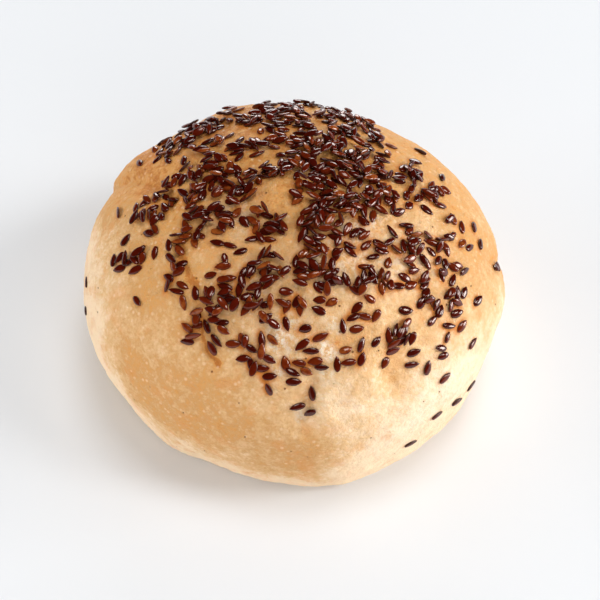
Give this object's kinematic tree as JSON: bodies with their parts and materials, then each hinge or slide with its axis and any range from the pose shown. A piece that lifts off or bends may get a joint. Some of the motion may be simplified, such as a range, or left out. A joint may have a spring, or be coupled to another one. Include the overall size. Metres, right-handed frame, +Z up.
{
  "type": "seeded bread roll",
  "caption": "Round domed white bread roll with a soft golden crust, closed folds, a small knob on the crown and a flat foot, topped with brown flax seeds.",
  "frame": {"origin": "middle of the flat foot, on the surface the roll stands on", "axes": "+Z up from the foot to the crown, -Y towards the front of the roll, where the small closed fold and the lowest seeds are, +X to its right"},
  "size_m": [0.1211, 0.1174, 0.071],
  "materials": {
    "baked_crust": "dry matt baked wheat crust, cream near the foot and golden brown towards the crown",
    "flax_seed": "glossy red-brown flax seed coat"
  },
  "bodies": {
    "root": {"bread_roll": "baked_crust"}
  },
  "joints": []
}
